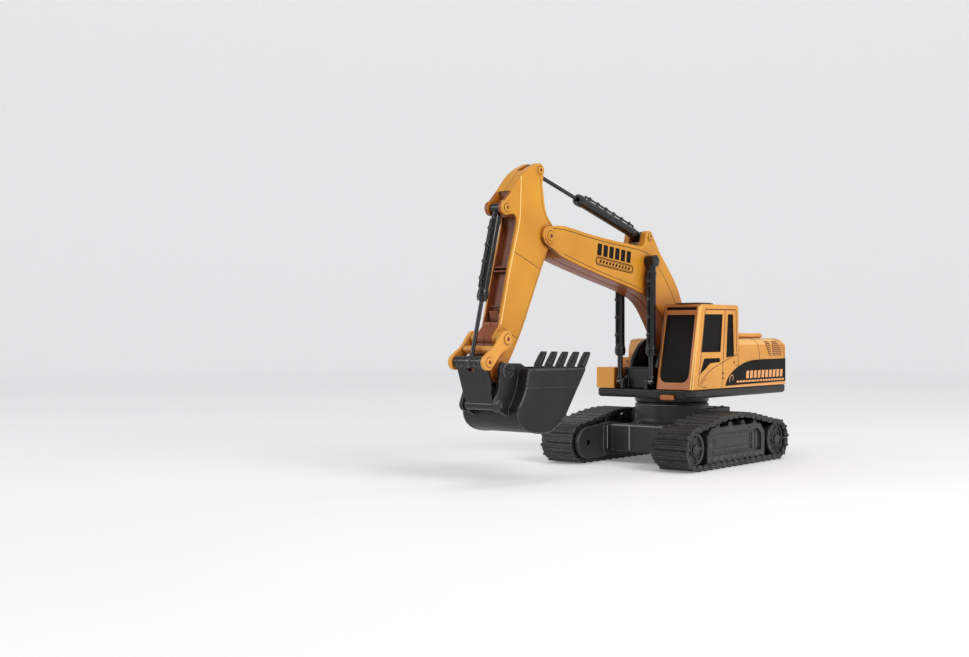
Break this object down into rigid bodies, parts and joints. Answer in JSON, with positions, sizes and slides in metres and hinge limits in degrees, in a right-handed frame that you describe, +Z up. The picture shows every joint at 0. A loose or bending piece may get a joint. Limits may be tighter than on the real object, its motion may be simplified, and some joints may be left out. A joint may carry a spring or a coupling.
{
  "type": "toy excavator",
  "caption": "Toy tracked excavator: slewing cab and hood on two belts, jointed boom and arm with linked cylinders, and a toothed bucket curled mouth up.",
  "frame": {"origin": "on the ground under the middle of the toy", "axes": "-Y is forward, towards the bucket; +X is the cab side; +Z is up"},
  "size_m": [0.14, 0.3488, 0.2262],
  "materials": {
    "yellow_plastic": "satin moulded",
    "black_plastic": "satin moulded",
    "track_rubber": "matte",
    "dark_window": "glossy opaque",
    "bright_metal": "bright",
    "board_green": "solder mask",
    "cell_wrap": "shrink wrap"
  },
  "bodies": {
    "undercarriage": {"chassis": "black_plastic", "bottom_cover": "black_plastic", "track_frame_right": "black_plastic", "track_frame_left": "black_plastic", "track_belt_right": "track_rubber", "track_belt_left": "track_rubber", "idler_wheel_axle_right": "bright_metal", "idler_wheel_axle_left": "bright_metal", "drive_sprocket_axle_right": "bright_metal", "drive_sprocket_axle_left": "bright_metal", "track_motor_right": "bright_metal", "track_motor_left": "bright_metal"},
    "switch_knob": {"power_switch": "black_plastic"},
    "idler_right": {"idler_wheel_right": "black_plastic"},
    "idler_left": {"idler_wheel_left": "black_plastic"},
    "sprocket_right": {"drive_sprocket_right": "black_plastic"},
    "sprocket_left": {"drive_sprocket_left": "black_plastic"},
    "upper": {"deck": "black_plastic", "slew_retainer": "bright_metal", "front_step": "yellow_plastic", "cab_shell": "yellow_plastic", "cab_windows": "dark_window", "roof_hatch": "black_plastic", "body_shell": "yellow_plastic", "hood_lid": "yellow_plastic", "battery_pack": "cell_wrap", "control_board": "board_green", "slew_motor": "bright_metal", "boom_bracket": "black_plastic", "boom_foot_pin": "bright_metal"},
    "boom": {"boom_shell_right": "yellow_plastic", "boom_shell_left": "yellow_plastic", "arm_pivot_pin": "yellow_plastic", "arm_cylinder_pin": "yellow_plastic", "boom_cylinder_pin": "black_plastic"},
    "boom_rod_r": {"boom_rod_right": "bright_metal"},
    "boom_barrel_r": {"boom_barrel_right": "black_plastic"},
    "boom_rod_l": {"boom_rod_left": "bright_metal"},
    "boom_barrel_l": {"boom_barrel_left": "black_plastic"},
    "arm": {"arm_shell_right": "yellow_plastic", "arm_shell_left": "yellow_plastic", "arm_tail_pin": "yellow_plastic", "tip_cylinder_pin": "yellow_plastic"},
    "arm_cylinder": {"arm_barrel": "black_plastic"},
    "arm_cylinder_rod": {"arm_rod": "bright_metal"},
    "tip_cylinder": {"tip_barrel": "black_plastic"},
    "tip_cylinder_rod": {"tip_rod": "bright_metal"},
    "rocker": {"rocker_plate_right": "yellow_plastic", "rocker_plate_left": "yellow_plastic", "rocker_tube": "yellow_plastic", "rocker_pivot_pin": "yellow_plastic", "link_pin": "yellow_plastic"},
    "link": {"bucket_link": "black_plastic"},
    "bucket": {"bucket": "black_plastic", "bucket_pin": "black_plastic", "bucket_tooth_1": "black_plastic", "bucket_tooth_2": "black_plastic", "bucket_tooth_3": "black_plastic", "bucket_tooth_4": "black_plastic", "bucket_tooth_5": "black_plastic"}
  },
  "joints": [
    {"name": "slew", "type": "hinge", "parent": "undercarriage", "child": "upper", "pos_m": [0, 0.06344, 0.048], "axis": [0, 0, 1], "continuous": true},
    {"name": "sprocket_right", "type": "hinge", "parent": "undercarriage", "child": "sprocket_right", "pos_m": [0.055, 0.11814, 0.0167], "axis": [1, 0, 0], "continuous": true},
    {"name": "idler_right", "type": "hinge", "parent": "undercarriage", "child": "idler_right", "pos_m": [0.055, -0.00486, 0.0167], "axis": [1, 0, 0], "continuous": true},
    {"name": "sprocket_left", "type": "hinge", "parent": "undercarriage", "child": "sprocket_left", "pos_m": [-0.055, 0.11814, 0.0167], "axis": [1, 0, 0], "continuous": true},
    {"name": "idler_left", "type": "hinge", "parent": "undercarriage", "child": "idler_left", "pos_m": [-0.055, -0.00486, 0.0167], "axis": [1, 0, 0], "continuous": true},
    {"name": "power_switch_slide", "type": "slide", "parent": "undercarriage", "child": "switch_knob", "axis": [0, 1, 0], "range_m": [-0.002, 0.003]},
    {"name": "boom_lift", "type": "hinge", "parent": "upper", "child": "boom", "pos_m": [-0.0085, 0.08144, 0.08], "axis": [1, 0, 0], "range_deg": [-15, 15]},
    {"name": "boom_cylinder_tilt_right", "type": "hinge", "parent": "upper", "child": "boom_rod_r", "pos_m": [0.0069, 0.02394, 0.065], "axis": [1, 0, 0], "range_deg": [-13, 13]},
    {"name": "boom_cylinder_stroke_right", "type": "slide", "parent": "boom_rod_r", "child": "boom_barrel_r", "axis": [0, 0, 1], "range_m": [-0.0155, 0.0155]},
    {"name": "boom_cylinder_tilt_left", "type": "hinge", "parent": "upper", "child": "boom_rod_l", "pos_m": [-0.0239, 0.02394, 0.065], "axis": [1, 0, 0], "range_deg": [-13, 13]},
    {"name": "boom_cylinder_stroke_left", "type": "slide", "parent": "boom_rod_l", "child": "boom_barrel_l", "axis": [0, 0, 1], "range_m": [-0.0155, 0.0155]},
    {"name": "arm_swing", "type": "hinge", "parent": "boom", "child": "arm", "pos_m": [-0.0085, -0.09726, 0.1743], "axis": [1, 0, 0], "range_deg": [-30, 10]},
    {"name": "arm_cylinder_tilt", "type": "hinge", "parent": "boom", "child": "arm_cylinder", "pos_m": [-0.0085, 0.02794, 0.1815], "axis": [1, 0, 0], "range_deg": [-4, 2]},
    {"name": "arm_cylinder_stroke", "type": "slide", "parent": "arm_cylinder", "child": "arm_cylinder_rod", "axis": [0, -0.9589, 0.2837], "range_m": [-0.024, 0.008]},
    {"name": "bucket_curl", "type": "hinge", "parent": "arm", "child": "bucket", "pos_m": [-0.0085, -0.14906, 0.0785], "axis": [1, 0, 0], "range_deg": [-60, 5]},
    {"name": "rocker_swing", "type": "hinge", "parent": "arm", "child": "rocker", "pos_m": [-0.0085, -0.15036, 0.1002], "axis": [1, 0, 0], "range_deg": [-53, 5]},
    {"name": "link_swing", "type": "hinge", "parent": "rocker", "child": "link", "pos_m": [-0.0085, -0.16886, 0.0847], "axis": [1, 0, 0], "range_deg": [-3, 33]},
    {"name": "tip_cylinder_tilt", "type": "hinge", "parent": "arm", "child": "tip_cylinder", "pos_m": [-0.0085, -0.14156, 0.1915], "axis": [1, 0, 0], "range_deg": [-8, 1]},
    {"name": "tip_cylinder_stroke", "type": "slide", "parent": "tip_cylinder", "child": "tip_cylinder_rod", "axis": [0, -0.2477, -0.9688], "range_m": [-0.018, 0.002]}
  ],
  "couplings": [
    {"joint": "idler_right", "follows": "sprocket_right", "ratio": 1},
    {"joint": "idler_left", "follows": "sprocket_left", "ratio": 1},
    {"joint": "boom_cylinder_tilt_right", "follows": "boom_lift", "ratio": 0.8448},
    {"joint": "boom_cylinder_stroke_right", "follows": "boom_lift", "m_per_rad": -0.057336},
    {"joint": "boom_cylinder_tilt_left", "follows": "boom_lift", "ratio": 0.8448},
    {"joint": "boom_cylinder_stroke_left", "follows": "boom_lift", "m_per_rad": -0.057336},
    {"joint": "arm_cylinder_tilt", "follows": "arm_swing", "ratio": 0.1083},
    {"joint": "arm_cylinder_stroke", "follows": "arm_swing", "m_per_rad": 0.044678},
    {"joint": "rocker_swing", "follows": "bucket_curl", "ratio": 0.8641},
    {"joint": "link_swing", "follows": "bucket_curl", "ratio": -0.5269},
    {"joint": "tip_cylinder_tilt", "follows": "bucket_curl", "ratio": 0.1144},
    {"joint": "tip_cylinder_stroke", "follows": "bucket_curl", "m_per_rad": 0.016411}
  ]
}
